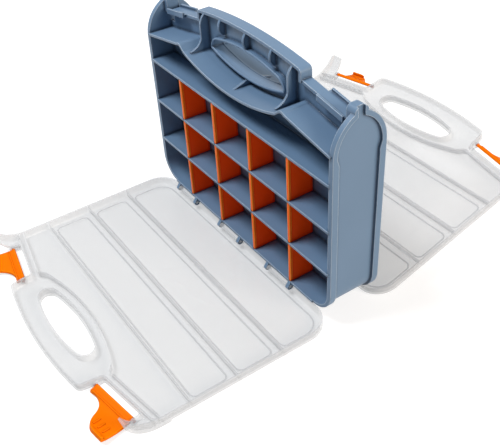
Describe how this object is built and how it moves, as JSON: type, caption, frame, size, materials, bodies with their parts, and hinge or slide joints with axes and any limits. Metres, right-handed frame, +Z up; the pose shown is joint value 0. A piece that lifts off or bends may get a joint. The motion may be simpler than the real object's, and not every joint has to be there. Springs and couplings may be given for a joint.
{
  "type": "screw sorting box",
  "caption": "Double-sided parts organizer case with open clear lids, orange latches and sliding orange dividers in a blue-grey frame.",
  "frame": {"origin": "point on the floor under the middle of the opened set", "axes": "X along the case, -Y towards the front lid, Z up"},
  "size_m": [0.306, 0.5068, 0.2345],
  "materials": {
    "body_plastic": "satin moulded polypropylene, blue-grey",
    "clear_lid": "translucent polypropylene, smooth",
    "latch_orange": "satin moulded plastic, bright orange",
    "divider_orange": "satin moulded plastic, orange"
  },
  "bodies": {
    "case": {"body": "body_plastic"},
    "front_lid": {"front_lid": "clear_lid"},
    "rear_lid": {"rear_lid": "clear_lid"},
    "front_latch_right": {"front_latch_right": "latch_orange"},
    "front_latch_left": {"front_latch_left": "latch_orange"},
    "rear_latch_right": {"rear_latch_right": "latch_orange"},
    "rear_latch_left": {"rear_latch_left": "latch_orange"},
    "front_divider_11": {"front_divider_11": "divider_orange"},
    "front_divider_12": {"front_divider_12": "divider_orange"},
    "front_divider_13": {"front_divider_13": "divider_orange"},
    "front_divider_14": {"front_divider_14": "divider_orange"},
    "rear_divider_11": {"rear_divider_11": "divider_orange"},
    "rear_divider_12": {"rear_divider_12": "divider_orange"},
    "front_divider_21": {"front_divider_21": "divider_orange"},
    "front_divider_22": {"front_divider_22": "divider_orange"},
    "front_divider_23": {"front_divider_23": "divider_orange"},
    "front_divider_24": {"front_divider_24": "divider_orange"},
    "rear_divider_21": {"rear_divider_21": "divider_orange"},
    "rear_divider_22": {"rear_divider_22": "divider_orange"},
    "front_divider_31": {"front_divider_31": "divider_orange"},
    "front_divider_32": {"front_divider_32": "divider_orange"},
    "front_divider_33": {"front_divider_33": "divider_orange"},
    "front_divider_34": {"front_divider_34": "divider_orange"},
    "rear_divider_31": {"rear_divider_31": "divider_orange"},
    "rear_divider_32": {"rear_divider_32": "divider_orange"}
  },
  "joints": [
    {"name": "front_lid_hinge", "type": "hinge", "parent": "case", "child": "front_lid", "pos_m": [0, -0.02504, 0.01], "axis": [-1, 0, 0], "range_deg": [0, 90]},
    {"name": "rear_lid_hinge", "type": "hinge", "parent": "case", "child": "rear_lid", "pos_m": [0, 0.03376, 0.01], "axis": [1, 0, 0], "range_deg": [-17, 73]},
    {"name": "front_latch_right_pivot", "type": "hinge", "parent": "front_lid", "child": "front_latch_right", "pos_m": [0.1105, -0.22444, 0.0045], "axis": [-0.9859, -0.1676, 0], "range_deg": [0, 69.5]},
    {"name": "front_latch_left_pivot", "type": "hinge", "parent": "front_lid", "child": "front_latch_left", "pos_m": [-0.1105, -0.22444, 0.0045], "axis": [-0.9859, 0.1676, 0], "range_deg": [0, 69.5]},
    {"name": "rear_latch_right_pivot", "type": "hinge", "parent": "rear_lid", "child": "rear_latch_right", "pos_m": [-0.1105, 0.22606, 0.06304], "axis": [0.9859, 0.1603, 0.049], "range_deg": [0, 112]},
    {"name": "rear_latch_left_pivot", "type": "hinge", "parent": "rear_lid", "child": "rear_latch_left", "pos_m": [0.1105, 0.22606, 0.06304], "axis": [0.9859, -0.1603, -0.049], "range_deg": [0, 112]},
    {"name": "front_divider_11_slide", "type": "slide", "parent": "case", "child": "front_divider_11", "axis": [0, 1, 0], "range_m": [-0.03, 0]},
    {"name": "front_divider_12_slide", "type": "slide", "parent": "case", "child": "front_divider_12", "axis": [0, 1, 0], "range_m": [-0.03, 0]},
    {"name": "front_divider_13_slide", "type": "slide", "parent": "case", "child": "front_divider_13", "axis": [0, 1, 0], "range_m": [-0.03, 0]},
    {"name": "front_divider_14_slide", "type": "slide", "parent": "case", "child": "front_divider_14", "axis": [0, 1, 0], "range_m": [-0.03, 0]},
    {"name": "rear_divider_11_slide", "type": "slide", "parent": "case", "child": "rear_divider_11", "axis": [0, -1, 0], "range_m": [-0.03, 0]},
    {"name": "rear_divider_12_slide", "type": "slide", "parent": "case", "child": "rear_divider_12", "axis": [0, -1, 0], "range_m": [-0.03, 0]},
    {"name": "front_divider_21_slide", "type": "slide", "parent": "case", "child": "front_divider_21", "axis": [0, 1, 0], "range_m": [-0.03, 0]},
    {"name": "front_divider_22_slide", "type": "slide", "parent": "case", "child": "front_divider_22", "axis": [0, 1, 0], "range_m": [-0.03, 0]},
    {"name": "front_divider_23_slide", "type": "slide", "parent": "case", "child": "front_divider_23", "axis": [0, 1, 0], "range_m": [-0.03, 0]},
    {"name": "front_divider_24_slide", "type": "slide", "parent": "case", "child": "front_divider_24", "axis": [0, 1, 0], "range_m": [-0.03, 0]},
    {"name": "rear_divider_21_slide", "type": "slide", "parent": "case", "child": "rear_divider_21", "axis": [0, -1, 0], "range_m": [-0.03, 0]},
    {"name": "rear_divider_22_slide", "type": "slide", "parent": "case", "child": "rear_divider_22", "axis": [0, -1, 0], "range_m": [-0.03, 0]},
    {"name": "front_divider_31_slide", "type": "slide", "parent": "case", "child": "front_divider_31", "axis": [0, 1, 0], "range_m": [-0.03, 0]},
    {"name": "front_divider_32_slide", "type": "slide", "parent": "case", "child": "front_divider_32", "axis": [0, 1, 0], "range_m": [-0.03, 0]},
    {"name": "front_divider_33_slide", "type": "slide", "parent": "case", "child": "front_divider_33", "axis": [0, 1, 0], "range_m": [-0.03, 0]},
    {"name": "front_divider_34_slide", "type": "slide", "parent": "case", "child": "front_divider_34", "axis": [0, 1, 0], "range_m": [-0.03, 0]},
    {"name": "rear_divider_31_slide", "type": "slide", "parent": "case", "child": "rear_divider_31", "axis": [0, -1, 0], "range_m": [-0.03, 0]},
    {"name": "rear_divider_32_slide", "type": "slide", "parent": "case", "child": "rear_divider_32", "axis": [0, -1, 0], "range_m": [-0.03, 0]}
  ]
}
